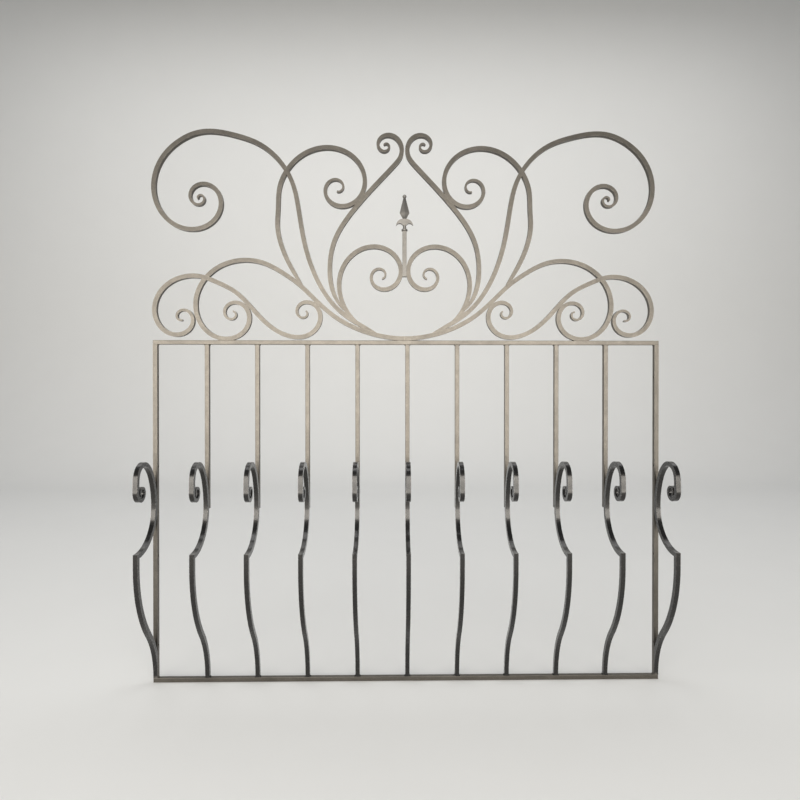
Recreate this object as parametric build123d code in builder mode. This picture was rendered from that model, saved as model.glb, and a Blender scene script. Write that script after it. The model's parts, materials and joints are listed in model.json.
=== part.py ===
from build123d import *
import os
from math import atan2, cos, degrees, radians, sin

# Window security bar: a welded grille of square bar that bulges out at the bottom,
# with wrought scrollwork and a spear finial standing on its top rail.
# Frame: X across the window, -Y towards the room, +Z up.
# Origin: middle of the bottom rail's underside, in the middle of the bar's depth.

# ---- driving dimensions, millimetres ----
bar = 12.0                 # side of the square bar
frame_height = 957.0       # underside of the bottom rail to the top of the top rail
bay_count = 8              # equal bays between the nine uprights
bay = 140.0                # upright to upright
end_bay = 144.0            # last upright to stile

belly_reach = 118.0        # how far the belly's bar stands out from the frame's bar
knee_height = 391.0        # top of the knee above the sill
knee_straight = 38.0       # straight run of the foot's bar under the knee's top
foot_radius = 225.0        # lower bend of the ogee
stem_flat = 14.0           # straight length of the stem that lies against the upright
upright_overhang = 5.0     # how far an upright runs on below that flat
roll_radius = 106.0        # stem radius that the belly scroll's points are drawn for
roll_taper = 110.0         # length over which the belly scroll is drawn down

crest_shift = -8.0         # the scrollwork stands a little left of the middle
crest_reach = 692.0        # from a bar against the stem to the stile, as the scrolls' points are drawn
low_crossing = (-547.3, 168.0)     # where the corner scroll crosses the base scroll
high_crossing = (-317.2, 467.0)    # where the shoulder scroll crosses the crown scroll
tip_half = 2.2             # half the bar's thickness at a drawn-down tip
tip_length = 50.0          # length over which a scarfed tail is drawn down
curl_step = 20.0           # degrees between two points of a curl

screw_hole = 6.5           # clearance hole for the fixing screws
screw_count = 4            # screws in each stile
screw_margin = 103.5       # from each end of the frame to the nearest screw

spear_foot = 185.0         # spear's lower end above the middle of the top rail
spear_stem_length = 128.0
collar_rim = 2.5           # how far the collar stands out past the stem's sides
collar_height = 6.0
leaf_span = 48.0
leaf_drop = 22.0
leaf_thickness = 9.0
blade_width = 28.0
blade_thickness = 13.0
blade_length = 59.0
blade_shoulder = 17.0      # height of the blade's widest line above its foot
blade_tip = 6.75           # width of the blade where the ball sits
neck_width = 9.0
neck_length = 21.0
ball_radius = 5.5
ball_sink = 1.1            # how deep the ball sits in the blade's tip

# ---- values that follow from them ----
half = bar / 2
rail_axis = frame_height - half
crest_base = frame_height + half          # axis of a bar that lies on the top rail
stile_axis = bay_count / 2 * bay + end_bay
upright_xs = [(i - bay_count / 2) * bay for i in range(bay_count + 1)]
belly_xs = [-stile_axis] + upright_xs + [stile_axis]
stem_radius = belly_reach - bar
stem_top = knee_height - half + stem_radius
roll = stem_radius / roll_radius
ogee_height = knee_height - bar - knee_straight
ogee_turn = 2 * atan2(belly_reach, ogee_height)
belly_radius = ogee_height / sin(ogee_turn) - foot_radius     # upper bend of the ogee
spread = (stile_axis - bar) / crest_reach
screw_pitch = (frame_height - 2 * screw_margin) / (screw_count - 1)
spear_base = rail_axis + spear_foot * spread
leaf_top = neck_length + leaf_drop / 3


def save(piece, name):
    """Label a finished piece and write it as its own file."""
    piece.part.label = name
    export_step(piece.part, f"parts/{name}.step")


# ---- curves of a scroll ----
def curl(eye, reach, bearing, turn, shrink):
    """Points of a curl from its open end to its eye.

    The distance to the eye starts at reach and is multiplied by shrink every
    quarter turn. Bearing and turn are degrees, anticlockwise positive.
    """
    steps = round(abs(turn) / curl_step)
    points = []
    for i in range(steps + 1):
        angle = turn * i / steps
        distance = reach * shrink ** (abs(angle) / 90)
        around = radians(bearing + angle)
        points.append((eye[0] + distance * cos(around), eye[1] + distance * sin(around)))
    return points


def taper(run, length):
    """Half thickness at the distance run from an end drawn down over a length."""
    if length == 0:
        return half
    return tip_half + (half - tip_half) * min(run / length, 1.0)


def headings(places):
    """Direction of a smooth curve at each of its points, from the points beside it."""
    steps = [there - here for here, there in zip(places, places[1:])]
    turns = [steps[0].normalized() * 2 - (steps[0] + steps[1]).normalized()]
    for before, after in zip(steps, steps[1:]):
        turns.append(before * (after.length / before.length) + after * (before.length / after.length))
    turns.append(steps[-1].normalized() * 2 - (steps[-2] + steps[-1]).normalized())
    return [turn.normalized() for turn in turns]


def sides(points, start_taper, end_taper):
    """Draw both edges of a bar bent along points, and return them."""
    places = [Vector(*point) for point in points]
    runs = [0.0]
    for here, there in zip(places, places[1:]):
        runs.append(runs[-1] + (there - here).length)
    left = []
    right = []
    for place, heading, run in zip(places, headings(places), runs):
        width = min(taper(run, start_taper), taper(runs[-1] - run, end_taper))
        across = heading.rotate(Axis.Z, 90) * width
        left.append(place + across)
        right.append(place - across)
    return Spline(*left), Spline(*right)


def on_crest(x, height):
    """Where a drawn point of the scrollwork comes to lie, spread to the frame's width."""
    return crest_shift - bar + x * spread, crest_base + height * spread


def bent_bar(points, start_taper, end_taper):
    """A crest bar bent along points, as deep as it is thick; a taper of 0 leaves an end full."""
    fitted = [on_crest(x, height) for x, height in points]
    with BuildPart() as blank:
        with BuildSketch(Plane.XZ):
            with BuildLine():
                left, right = sides(fitted, start_taper, end_taper)
                Line(left @ 0, right @ 0)
                Line(left @ 1, right @ 1)
            make_face()
        extrude(amount=half, both=True)
    return blank.part


def half_lap(crossing, front):
    """The space in front of, or behind, the middle of the bar around a crossing."""
    reach = 3 * bar
    side = -1 if front else 1
    x, height = on_crest(*crossing)
    return Pos(x, side * reach / 2, height) * Box(reach, reach, reach)


# ---- frame ----
def rail(name, height):
    """A rail as wide as the whole frame, with its axis at a height."""
    with BuildPart(Plane.XY.offset(height - half)) as piece:
        Box(2 * stile_axis + bar, bar, bar, align=(Align.CENTER, Align.CENTER, Align.MIN))
    save(piece, name)
    return piece.part


def stile(name, x):
    """A side post between the rails, drilled through for the fixing screws."""
    with BuildPart() as piece:
        with Locations((x, 0, bar)):
            height = frame_height - 2 * bar
            Box(bar, bar, height, align=(Align.CENTER, Align.CENTER, Align.MIN))
        with Locations(Plane(origin=(x, 0, frame_height / 2), x_dir=(0, 0, 1), z_dir=(1, 0, 0))):
            with GridLocations(screw_pitch, bar, screw_count, 1):
                Hole(screw_hole / 2)
    save(piece, name)
    return piece.part


def upright(name, x):
    """A post from the top rail down to where the belly's stem meets it."""
    low = stem_top - upright_overhang
    with BuildPart(Plane.XY.offset(low)) as piece:
        with Locations((x, 0)):
            height = frame_height - bar - low
            Box(bar, bar, height, align=(Align.CENTER, Align.CENTER, Align.MIN))
    save(piece, name)


# ---- belly ----
def side_view(x):
    """Drawing plane through a belly bar: out towards the room, and up."""
    return Plane(origin=(x, 0, 0), x_dir=(0, -1, 0), z_dir=(-1, 0, 0))


def mitre(x):
    """Plane of the mitred knee, facing up and back."""
    return Plane(origin=(x, -belly_reach, knee_height - half), z_dir=(0, 1, 1))


def foot_side(shift):
    """One edge of the ogee bar, shifted out from its axis."""
    turn = degrees(ogee_turn)
    low = JernArc((shift, bar), (0, 1), foot_radius - shift, -turn)
    high = JernArc(low @ 1, low % 1, belly_radius + shift, turn)
    Line(high @ 1, (belly_reach + shift, knee_height))
    return low @ 0


def belly_foot(name, x, post):
    """The ogee bar from the bottom rail to the knee, scarfed where it leaves a post."""
    with BuildPart() as piece:
        with BuildSketch(side_view(x)):
            with BuildLine():
                room = foot_side(half)
                wall = foot_side(-half)
                Line(room, wall)
                Line((belly_reach + half, knee_height), (belly_reach - half, knee_height))
            make_face()
        extrude(amount=half, both=True)
        split(bisect_by=mitre(x), keep=Keep.BOTTOM)
        if post:
            add(post, mode=Mode.SUBTRACT)
    save(piece, name)


def stem_side(shift, edge):
    """One edge of the stem from the knee up to the scroll's edge."""
    level = knee_height - half + shift
    back = Line((belly_reach + half, level), (belly_reach, level))
    rise = JernArc(back @ 1, (-1, 0), stem_radius - shift, -90)
    Line(rise @ 1, edge @ 0)
    return back @ 0


def belly_scroll():
    """The upper bar of the belly: from the knee back to the upright, and up into a scroll."""
    loop = [(3, 40), (13, 75), (34, 110), (69, 128), (95, 116), (105, 94)]
    loop += curl((83, 55), reach=25.2, bearing=20, turn=-440, shrink=0.8)
    points = [(bar, stem_top + stem_flat)]
    points += [(bar + out * roll, stem_top + rise * roll) for out, rise in loop]
    with BuildPart() as piece:
        with BuildSketch(side_view(0)):
            with BuildLine():
                wall_edge, room_edge = sides(points, 0, roll_taper)
                Line(wall_edge @ 1, room_edge @ 1)
                room = stem_side(half, room_edge)
                wall = stem_side(-half, wall_edge)
                Line(room, wall)
            make_face()
        extrude(amount=half, both=True)
        split(bisect_by=mitre(0), keep=Keep.TOP)
    return piece.part


def placed(name, blank, x):
    """A copy of a belly bar at its place across the grille."""
    with BuildPart() as piece:
        with Locations((x, 0, 0)):
            add(blank)
    save(piece, name)


# ---- crest: six scrolls of the left half, drawn for a spread of 1 ----
# A point is measured from a bar that stands against the stem, and up from one that lies on the rail.
def base_scroll():
    """Runs out along the rail from the middle, where it is sawn off, and curls back under itself."""
    tail = [(24, 0), (-18, 1), (-56.5, 7), (-94.5, 17), (-135.5, 33), (-185.5, 62), (-236.5, 106), (-286.5, 153)]
    points = tail + curl((-469.3, 67.5), reach=181, bearing=40, turn=760, shrink=0.68)
    return bent_bar(points, start_taper=0, end_taper=150)


def crown_scroll():
    """The tallest and largest scroll, at the outer shoulder of the crest."""
    tail = [(-60.5, 9), (-89.5, 25), (-133.5, 50), (-176.5, 83), (-218.5, 137), (-248.5, 200)]
    tail += [(-268.5, 267), (-286.5, 371), (-303.5, 439), (-339.5, 498), (-393.5, 542), (-459.5, 566)]
    points = tail + curl((-559.5, 390.5), reach=184, bearing=90, turn=830, shrink=0.677)
    return bent_bar(points, start_taper=tip_length, end_taper=180)


def shoulder_scroll():
    """Rises off the base scroll, crosses the crown scroll and curls to the right."""
    tail = [(-270.5, 140), (-290.5, 172), (-315.5, 217), (-334.5, 265), (-343.5, 313)]
    points = tail + curl((-175.5, 421), reach=177, bearing=-160, turn=-660, shrink=0.675)
    return bent_bar(points, start_taper=tip_length, end_taper=160)


def heart_scroll():
    """The swan-necked bar that ends in the small curl at the top middle."""
    tail = [(-154.5, 78), (-173.5, 100), (-190.5, 137), (-197.5, 199), (-186.5, 267), (-154.5, 328)]
    tail += [(-111, 383), (-66, 433)]
    points = tail + curl((-41, 538.7), reach=56.5, bearing=-60, turn=560, shrink=0.687)
    return bent_bar(points, start_taper=tip_length, end_taper=130)


def inner_scroll():
    """The C-shaped scroll beside the spear."""
    tail = [(-110, 38), (-128, 51), (-150, 76)]
    points = tail + curl((-54.5, 176), reach=128.8, bearing=-150, turn=-640, shrink=0.693)
    return bent_bar(points, start_taper=tip_length, end_taper=150)


def corner_scroll():
    """The low bar at the outer end, curled at both ends."""
    outer = curl((-610.7, 58), reach=138, bearing=46, turn=600, shrink=0.648)
    inner = curl((-269.3, 70.7), reach=72.5, bearing=-112, turn=520, shrink=0.668)
    points = outer[::-1] + [(-462.5, 130), (-412.5, 81), (-362.5, 32)] + inner
    return bent_bar(points, start_taper=140, end_taper=120)


def crest_scroll(name, blank, cutters):
    """Fit a scroll of the left half to its neighbours, and make its mirror image."""
    with BuildPart() as left:
        add(blank)
        for cutter in cutters:
            add(cutter, mode=Mode.SUBTRACT)
    save(left, f"left_{name}")
    with BuildPart() as right:
        mirror(left.part, about=Plane.YZ.offset(crest_shift))
    save(right, f"right_{name}")


def crest(top_rail, stem):
    """The twelve scrolls: halved where two cross, scarfed or butted where they meet."""
    base = base_scroll()
    crown = crown_scroll()
    shoulder = shoulder_scroll()
    heart = heart_scroll()
    inner = inner_scroll()
    corner = corner_scroll()
    far_side = Pos(crest_shift + 2 * bar, 0, crest_base) * Box(4 * bar, 4 * bar, 4 * bar)
    low_front = half_lap(low_crossing, front=True)
    high_front = half_lap(high_crossing, front=True)
    high_back = half_lap(high_crossing, front=False)
    crest_scroll("base_scroll", base, [top_rail, corner & low_front, far_side])
    crest_scroll("corner_scroll", corner, [base - low_front])
    crest_scroll("crown_scroll", crown, [base, shoulder & high_front])
    crest_scroll("shoulder_scroll", shoulder, [base, crown & high_back])
    crest_scroll("inner_scroll", inner, [crown, stem])
    crest_scroll("heart_scroll", heart, [crown, inner, shoulder])


# ---- spear finial ----
def spear_stem():
    """The square stem between the two inner scrolls."""
    with BuildPart(Plane.XY.offset(spear_base)) as piece:
        with Locations((crest_shift, 0)):
            Box(bar, bar, spear_stem_length, align=(Align.CENTER, Align.CENTER, Align.MIN))
    save(piece, "spear_stem")
    return piece.part


def spear_collar(level):
    """The turned ring on top of the stem."""
    with BuildPart(Plane.XY.offset(level)) as piece:
        with Locations((crest_shift, 0)):
            Cylinder(half + collar_rim, collar_height, align=(Align.CENTER, Align.CENTER, Align.MIN))
        fillet(piece.edges().filter_by(GeomType.CIRCLE), collar_height / 3)
    save(piece, "spear_collar")


def spear_leaves(level):
    """Neck with two leaves that droop to either side."""
    reach = leaf_span / 2
    with BuildPart() as piece:
        with BuildSketch(Plane.XZ):
            with BuildLine():
                root = (crest_shift, level + leaf_top)
                point = (crest_shift + reach, level + neck_length - leaf_drop / 2)
                pit = (crest_shift + neck_width / 2, level + neck_length / 2)
                Spline(root, (crest_shift + reach * 0.6, level + neck_length + leaf_drop / 5), point)
                Spline(point, (crest_shift + reach * 0.55, level + neck_length * 0.75), pit)
                Line(pit, (crest_shift, level + neck_length / 2))
                Line((crest_shift, level + neck_length / 2), root)
            make_face()
            mirror(about=Plane.YZ.offset(crest_shift))
        extrude(amount=leaf_thickness / 2, both=True)
        with BuildSketch(Plane.XY.offset(level)):
            with Locations((crest_shift, 0)):
                Circle(neck_width / 2)
        extrude(amount=neck_length)
        split(bisect_by=Plane.XY.offset(level + leaf_top), keep=Keep.BOTTOM)
    save(piece, "spear_leaves")


def spear_head(level):
    """The flattened blade with a ball on its point."""
    slices = [(0, neck_width, neck_width), (blade_shoulder, blade_width, blade_thickness)]
    slices.append((blade_length, blade_tip, blade_tip))
    with BuildPart() as piece:
        for rise, width, depth in slices:
            with BuildSketch(Plane.XY.offset(level + rise)):
                with Locations((crest_shift, 0)):
                    Polygon((-width / 2, 0), (0, -depth / 2), (width / 2, 0), (0, depth / 2))
        loft(ruled=True)
        with Locations((crest_shift, 0, level + blade_length + ball_radius - ball_sink)):
            Sphere(ball_radius)
    save(piece, "spear_head")


# ---- the whole grille ----
os.makedirs("parts", exist_ok=True)
rail("bottom_rail", half)
top_rail = rail("top_rail", rail_axis)
left_stile = stile("left_stile", -stile_axis)
right_stile = stile("right_stile", stile_axis)
for number, x in enumerate(upright_xs, start=1):
    upright(f"upright_{number}", x)
posts = {-stile_axis: left_stile, stile_axis: right_stile}
scroll = belly_scroll()
for number, x in enumerate(belly_xs, start=1):
    belly_foot(f"belly_foot_{number:02d}", x, posts.get(x))
    placed(f"belly_scroll_{number:02d}", scroll, x)
crest(top_rail, spear_stem())
stem_end = spear_base + spear_stem_length
spear_collar(stem_end)
spear_leaves(stem_end + collar_height)
spear_head(stem_end + collar_height + leaf_top)
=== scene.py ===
import json
import math
import random

import bmesh
import bpy
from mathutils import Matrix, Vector


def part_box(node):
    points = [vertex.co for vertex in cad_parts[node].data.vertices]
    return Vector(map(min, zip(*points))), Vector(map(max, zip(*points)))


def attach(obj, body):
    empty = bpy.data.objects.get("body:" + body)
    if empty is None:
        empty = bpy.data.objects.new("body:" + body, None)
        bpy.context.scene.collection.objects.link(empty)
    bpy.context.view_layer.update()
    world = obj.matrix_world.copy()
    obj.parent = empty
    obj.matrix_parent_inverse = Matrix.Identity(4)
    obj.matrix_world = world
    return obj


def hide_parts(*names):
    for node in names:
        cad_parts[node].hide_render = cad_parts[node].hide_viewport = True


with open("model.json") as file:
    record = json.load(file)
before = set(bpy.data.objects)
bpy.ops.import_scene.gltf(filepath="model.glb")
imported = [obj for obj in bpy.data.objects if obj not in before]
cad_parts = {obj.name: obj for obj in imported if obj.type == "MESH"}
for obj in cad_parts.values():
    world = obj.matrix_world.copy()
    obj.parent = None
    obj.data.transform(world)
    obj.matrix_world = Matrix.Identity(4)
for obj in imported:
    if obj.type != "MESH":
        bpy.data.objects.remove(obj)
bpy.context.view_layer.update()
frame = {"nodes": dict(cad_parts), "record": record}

# Window security bar: painted steel grille, shown on a pale studio floor.
# Everything is in metres in the model's own frame: -Y faces the room, +Z is up.

NODES = sorted(frame["nodes"])
SLOTS = {entry["node"]: entry["material_slot"] for entry in frame["record"]["subparts"]}
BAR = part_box("upright_1")[1].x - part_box("upright_1")[0].x
HALF = BAR / 2
RAIL_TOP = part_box("top_rail")[1].z
rng = random.Random(20)

EDGE_ROUNDING = 0.0009          # rolled bar
CAST_ROUNDING = 0.0005          # the finer edges of the cast spear
FLAT_ANGLE = math.radians(0.6)  # faces closer than this are one flat
FRAME_WELD = 0.0032             # leg of a weld in the frame and the belly
CREST_WELD = 0.0026             # leg of a weld under the crest
WELD_STEP = 0.0005              # one rib of a weld to the next
WELD_RIPPLE = 0.0017            # one ripple of a weld to the next
WELD_SINK = 0.0004              # how far a weld reaches into the corner
TOUCH_GAP = 0.00025             # a scroll this close to the rail lies on it
TOUCH_SPLIT = 0.03              # contacts farther apart than this are welded separately
VIEW_PLACE = (-0.0418, -1.5173, 0.7960)
VIEW_PITCH = 90 - 0.236         # a little down
VIEW_YAW = -0.796               # a little to the right
LENS = 24.24


# ---- materials ----
class Maker:
    """Adds nodes to one material and joins them."""

    def __init__(self, name):
        self.material = bpy.data.materials.new(name)
        self.material.use_nodes = True
        self.tree = self.material.node_tree
        self.tree.nodes.clear()

    def node(self, kind, **values):
        made = self.tree.nodes.new(kind)
        for key, value in values.items():
            if hasattr(made, key):
                setattr(made, key, value)
            else:
                made.inputs[key.replace("_", " ")].default_value = value
        return made

    def join(self, source, target):
        self.tree.links.new(source, target)

    def ramp(self, source, stops):
        made = self.tree.nodes.new("ShaderNodeValToRGB")
        elements = made.color_ramp.elements
        while len(elements) < len(stops):
            elements.new(0.5)
        for element, (place, grey) in zip(elements, stops):
            element.position = place
            element.color = (grey, grey, grey, 1)
        self.join(source, made.inputs[0])
        return made.outputs[0]

    def math(self, operation, first, second):
        made = self.tree.nodes.new("ShaderNodeMath")
        made.operation = operation
        for socket, value in zip(made.inputs, (first, second)):
            if isinstance(value, (int, float)):
                socket.default_value = value
            else:
                self.join(value, socket)
        return made.outputs[0]

    def mix(self, factor, first, second):
        made = self.tree.nodes.new("ShaderNodeMix")
        made.data_type = "RGBA"
        for socket, value in ((made.inputs[0], factor), (made.inputs[6], first), (made.inputs[7], second)):
            if isinstance(value, (int, float, tuple)):
                socket.default_value = value
            else:
                self.join(value, socket)
        return made.outputs[2]


def steel(name, paint, bare, metal, gloss, grain, varnish=0.0):
    """Brushed-on paint over forged steel: blotches, rubbed edges, dust and a lightly hammered skin."""
    m = Maker(name)
    where = m.node("ShaderNodeTexCoord").outputs["Object"]
    blotch = m.node("ShaderNodeTexNoise", Scale=14.0, Detail=5.0, Roughness=0.6)
    speck = m.node("ShaderNodeTexNoise", Scale=420.0, Detail=4.0, Roughness=0.65)
    brush = m.node("ShaderNodeTexNoise", Scale=90.0, Detail=6.0, Roughness=0.55)
    dents = m.node("ShaderNodeTexVoronoi", feature="SMOOTH_F1", Scale=105.0, Smoothness=0.9)
    for texture in (blotch, speck, brush, dents):
        m.join(where, texture.inputs["Vector"])
    geometry = m.node("ShaderNodeNewGeometry")

    rounded = m.node("ShaderNodeBevel", samples=6, Radius=0.0016)
    facing = m.node("ShaderNodeVectorMath", operation="DOT_PRODUCT")
    m.join(rounded.outputs[0], facing.inputs[0])
    m.join(geometry.outputs["Normal"], facing.inputs[1])
    edge = m.ramp(facing.outputs["Value"], [(0.86, 1.0), (0.985, 0.0)])
    ragged = m.ramp(brush.outputs["Fac"], [(0.42, 0.0), (0.62, 1.0)])
    worn = m.math("MULTIPLY", m.math("MULTIPLY", edge, ragged), 0.75)

    shade = m.ramp(blotch.outputs["Fac"], [(0.3, 0.0), (0.7, 1.0)])
    dark = tuple(value * 0.72 for value in paint) + (1,)
    coat = m.mix(shade, dark, tuple(paint) + (1,))
    coat = m.mix(m.ramp(speck.outputs["Fac"], [(0.52, 0.0), (0.72, 0.35)]), coat, tuple(v * 1.9 for v in paint) + (1,))
    coat = m.mix(worn, coat, tuple(bare) + (1,))

    split = m.node("ShaderNodeSeparateXYZ")
    m.join(geometry.outputs["Normal"], split.inputs[0])
    ledge = m.ramp(split.outputs["Z"], [(0.75, 0.0), (1.0, 0.4)])
    dust = m.math("MULTIPLY", ledge, m.ramp(brush.outputs["Fac"], [(0.4, 0.0), (0.75, 1.0)]))
    coat = m.mix(dust, coat, (0.11, 0.10, 0.085, 1))

    rough = m.math("MULTIPLY_ADD", brush.outputs["Fac"], 0.22)
    rough.node.inputs[2].default_value = gloss - 0.11
    rough = m.math("ADD", rough, m.math("MULTIPLY", dust, 0.3))

    low = m.node("ShaderNodeBump", Strength=0.35, Distance=grain)
    m.join(dents.outputs["Distance"], low.inputs["Height"])
    fine = m.node("ShaderNodeBump", Strength=0.25, Distance=grain * 0.35)
    m.join(speck.outputs["Fac"], fine.inputs["Height"])
    m.join(low.outputs[0], fine.inputs["Normal"])

    shader = m.node("ShaderNodeBsdfPrincipled", Metallic=metal, Coat_Weight=varnish, Coat_Roughness=0.14)
    m.join(coat, shader.inputs["Base Color"])
    m.join(rough, shader.inputs["Roughness"])
    m.join(fine.outputs[0], shader.inputs["Normal"])
    out = m.node("ShaderNodeOutputMaterial")
    m.join(shader.outputs[0], out.inputs[0])
    return m.material


def pale(name, colour, scale):
    """Matt paper-like ground with a faint mottle."""
    m = Maker(name)
    noise = m.node("ShaderNodeTexNoise", Scale=scale, Detail=6.0)
    where = m.node("ShaderNodeTexCoord").outputs["Object"]
    m.join(where, noise.inputs["Vector"])
    tone = m.mix(noise.outputs["Fac"], tuple(v * 0.97 for v in colour) + (1,), tuple(colour) + (1,))
    shader = m.node("ShaderNodeBsdfPrincipled", Roughness=0.9)
    m.join(tone, shader.inputs["Base Color"])
    out = m.node("ShaderNodeOutputMaterial")
    m.join(shader.outputs[0], out.inputs[0])
    return m.material


PEWTER = (0.122, 0.112, 0.098)
BLACK = (0.024, 0.023, 0.022)
IRON = (0.190, 0.182, 0.170)
FINISH = {
    "frame_steel": steel("frame_paint", PEWTER, (0.30, 0.27, 0.23), 0.85, 0.36, 0.0005),
    "belly_steel": steel("belly_paint", BLACK, (0.22, 0.20, 0.18), 0.80, 0.27, 0.0004, 0.55),
    "crest_steel": steel("crest_paint", PEWTER, (0.32, 0.29, 0.25), 0.85, 0.38, 0.0006),
    "spear_iron": steel("spear_casting", IRON, (0.42, 0.41, 0.39), 0.80, 0.50, 0.0008),
}


# ---- pieces ----
def dressed(node, rounding, segments=2):
    """A copy of a CAD piece with its edges rounded off as rolled and filed steel is."""
    mesh = frame["nodes"][node].data.copy()
    work = bmesh.new()
    work.from_mesh(mesh)
    bmesh.ops.remove_doubles(work, verts=work.verts, dist=2e-6)
    bmesh.ops.dissolve_limit(work, angle_limit=FLAT_ANGLE, verts=work.verts, edges=work.edges)
    for face in work.faces:
        face.smooth = True
    work.to_mesh(mesh)
    work.free()
    if mesh.attributes.get("custom_normal"):
        mesh.attributes.remove(mesh.attributes["custom_normal"])
    piece = bpy.data.objects.new("steel_" + node, mesh)
    bpy.context.scene.collection.objects.link(piece)
    soft = piece.modifiers.new("rounding", "BEVEL")
    soft.width = rounding
    soft.segments = segments
    soft.limit_method = "ANGLE"
    soft.angle_limit = math.radians(32)
    soft.use_clamp_overlap = True
    soft.harden_normals = True
    place(piece, SLOTS[node])
    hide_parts(node)
    return piece


def place(piece, slot):
    """Give a piece its finish and fix it to the grille."""
    piece.data.materials.clear()
    piece.data.materials.append(FINISH[slot])
    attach(piece, "root")


def bead(work, start, end, size, side, up):
    """A rippled weld in the inside corner that runs from start to end, between faces that look to side and up."""
    start, end, side, up = Vector(start), Vector(end), Vector(side), Vector(up)
    length = (end - start).length
    steps = max(8, round(length / WELD_STEP))
    ribs = []
    drift = rng.uniform(0, 6.3)
    for i in range(steps + 1):
        share = i / steps
        middle = start.lerp(end, share)
        swell = math.sin(math.pi * share) ** 0.25 if 0 < share < 1 else 0.15
        ripple = 1 + 0.10 * math.sin(drift + share * length / WELD_RIPPLE * 6.283) + rng.uniform(-0.03, 0.03)
        reach = size * swell * ripple
        rib = [work.verts.new(middle - (side + up) * WELD_SINK)]
        for k in range(6):
            turn = math.pi / 2 * k / 5
            bulge = reach * (1 - 0.22 * math.sin(2 * turn))
            rib.append(work.verts.new(middle + side * bulge * math.cos(turn) + up * bulge * math.sin(turn)))
        ribs.append(rib)
    for here, there in zip(ribs, ribs[1:]):
        for k in range(len(here)):
            n = (k + 1) % len(here)
            work.faces.new((here[k], here[n], there[n], there[k]))
    work.faces.new(ribs[0][::-1])
    work.faces.new(ribs[-1])


def beads(name, slot, runs, size):
    """One piece that holds the welds of a group of joints."""
    work = bmesh.new()
    for start, end, side, up in runs:
        bead(work, start, end, size, side, up)
    bmesh.ops.recalc_face_normals(work, faces=work.faces)
    for face in work.faces:
        face.smooth = True
    mesh = bpy.data.meshes.new(name)
    work.to_mesh(mesh)
    work.free()
    piece = bpy.data.objects.new(name, mesh)
    bpy.context.scene.collection.objects.link(piece)
    place(piece, slot)
    return piece


def under(node, up):
    """Weld runs either side of a bar's end, where it stands on (up) or hangs from a rail."""
    low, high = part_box(node)
    level = low.z if up > 0 else high.z
    runs = []
    for x, side in ((low.x, -1), (high.x, 1)):
        ends = (x, -HALF * 0.9, level), (x, HALF * 0.9, level)
        runs.append((*ends, (side, 0, 0), (0, 0, up)))
    return runs


def touch_points(node):
    """Both ends, in x, of each stretch where a scroll lies on the top rail."""
    xs = sorted(v.co.x for v in frame["nodes"][node].data.vertices if v.co.z < RAIL_TOP + TOUCH_GAP)
    groups = []
    for x in xs:
        if groups and x - groups[-1][-1] < TOUCH_SPLIT:
            groups[-1].append(x)
        else:
            groups.append([x])
    return [(group[0], group[-1]) for group in groups]


for node in NODES:
    dressed(node, CAST_ROUNDING if SLOTS[node] == "spear_iron" else EDGE_ROUNDING)

uprights = [n for n in NODES if n.startswith("upright_")]
feet = [n for n in NODES if n.startswith("belly_foot_")]
frame_runs = [run for node in uprights for run in under(node, -1)]
for stile, side in (("left_stile", 1), ("right_stile", -1)):
    low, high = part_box(stile)
    x = high.x if side > 0 else low.x
    frame_runs.append(((x, -HALF * 0.9, high.z), (x, HALF * 0.9, high.z), (side, 0, 0), (0, 0, -1)))
    frame_runs.append(((x, -HALF * 0.9, low.z), (x, HALF * 0.9, low.z), (side, 0, 0), (0, 0, 1)))
beads("welds_frame", "frame_steel", frame_runs, FRAME_WELD)

belly_runs = [run for node in feet[1:-1] for run in under(node, 1)]
beads("welds_belly", "belly_steel", belly_runs, FRAME_WELD)

crest_runs = []
for node in ("left_base_scroll", "left_corner_scroll", "right_base_scroll", "right_corner_scroll"):
    for first, last in touch_points(node):
        for x, side in ((first, -1), (last, 1)):
            if abs(x) > BAR:
                x += side * 0.002
                crest_runs.append(((x, -HALF * 0.9, RAIL_TOP), (x, HALF * 0.9, RAIL_TOP), (side, 0, 0), (0, 0, 1)))
beads("welds_crest", "crest_steel", crest_runs, CREST_WELD)


# ---- stage ----
def sweep(name, width, near, far, radius, top, material):
    """A paper ground that lies flat, then curves up into a wall behind the grille."""
    profile = [(near, 0.0), (far, 0.0)]
    for k in range(1, 13):
        turn = math.pi / 2 * k / 12
        profile.append((far + radius * math.sin(turn), radius * (1 - math.cos(turn))))
    profile.append((far + radius, top))
    mesh = bpy.data.meshes.new(name)
    corners = [(x, y, z) for y, z in profile for x in (-width / 2, width / 2)]
    faces = [(2 * k, 2 * k + 1, 2 * k + 3, 2 * k + 2) for k in range(len(profile) - 1)]
    mesh.from_pydata(corners, [], faces)
    for face in mesh.polygons:
        face.use_smooth = True
    mesh.materials.append(material)
    thing = bpy.data.objects.new(name, mesh)
    bpy.context.scene.collection.objects.link(thing)
    return thing


sweep("floor", 40, -4.4, 3.2, 1.8, 12, pale("floor_paper", (0.74, 0.74, 0.73), 3.0))

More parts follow.
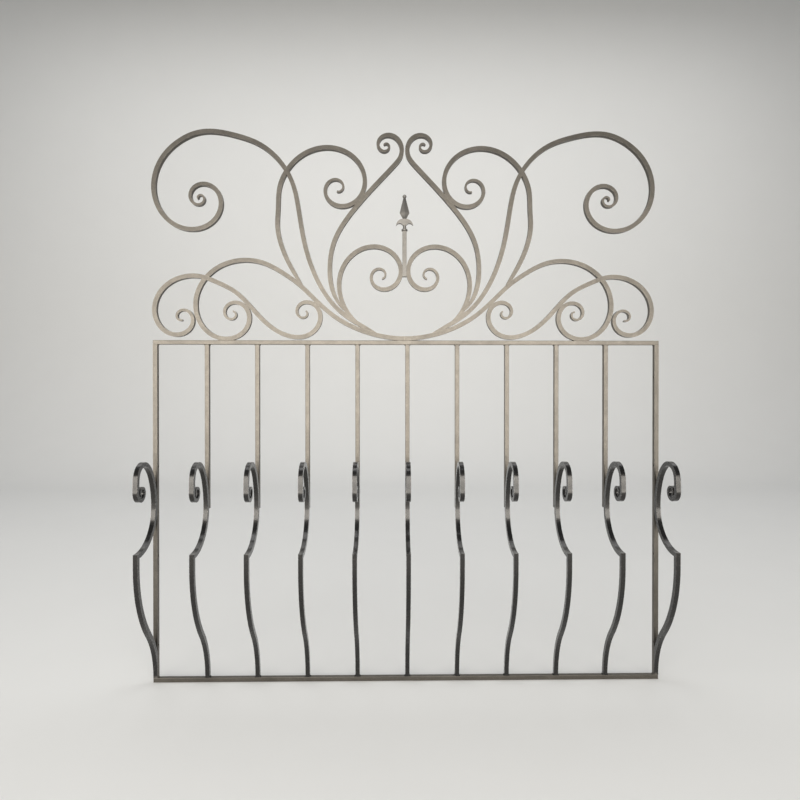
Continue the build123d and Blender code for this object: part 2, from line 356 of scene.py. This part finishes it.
world = bpy.data.worlds.new("studio")
bpy.context.scene.world = world
world.use_nodes = True
sky = world.node_tree
sky.nodes.clear()
ray = sky.nodes.new("ShaderNodeLightPath")
seen = sky.nodes.new("ShaderNodeBackground")
seen.inputs[0].default_value = (0.93, 0.93, 0.92, 1)
seen.inputs[1].default_value = 0.75
unseen = sky.nodes.new("ShaderNodeBackground")
unseen.inputs[0].default_value = (0.80, 0.84, 0.88, 1)
unseen.inputs[1].default_value = 0.22
blend = sky.nodes.new("ShaderNodeMixShader")
end = sky.nodes.new("ShaderNodeOutputWorld")
sky.links.new(ray.outputs["Is Camera Ray"], blend.inputs[0])
sky.links.new(unseen.outputs[0], blend.inputs[1])
sky.links.new(seen.outputs[0], blend.inputs[2])
sky.links.new(blend.outputs[0], end.inputs[0])


def softbox(name, place, target, size, radiance, colour):
    """A large soft panel of even brightness."""
    light = bpy.data.lights.new(name, "AREA")
    light.shape = "RECTANGLE"
    light.size, light.size_y = size
    light.energy = radiance * math.pi * size[0] * size[1]
    light.color = colour
    thing = bpy.data.objects.new(name, light)
    thing.location = place
    thing.rotation_euler = (Vector(target) - Vector(place)).to_track_quat("-Z", "Y").to_euler()
    thing.visible_camera = False
    bpy.context.scene.collection.objects.link(thing)
    return thing


WARM = (1.0, 0.955, 0.88)
softbox("front_panel", (-0.3, -4.6, 1.3), (0, 0, 1.1), (7.5, 2.6), 6.6, WARM)
softbox("top_panel", (-0.6, -0.9, 3.4), (0, 0, 0.6), (2.2, 1.0), 3.0, (1, 1, 1))
softbox("ground_panel", (0, 2.0, 5.2), (0, 2.6, 0), (9.0, 3.0), 1.7, (1, 1, 1))

# ---- camera ----
camera = bpy.data.objects.new("camera", bpy.data.cameras.new("camera"))
camera.data.sensor_width = 36.0
camera.data.lens = LENS
camera.data.clip_start = 0.05
camera.location = VIEW_PLACE
camera.rotation_euler = (math.radians(VIEW_PITCH), 0, math.radians(VIEW_YAW))
bpy.context.scene.collection.objects.link(camera)
bpy.context.scene.camera = camera
bpy.context.scene.view_settings.view_transform = "Standard"
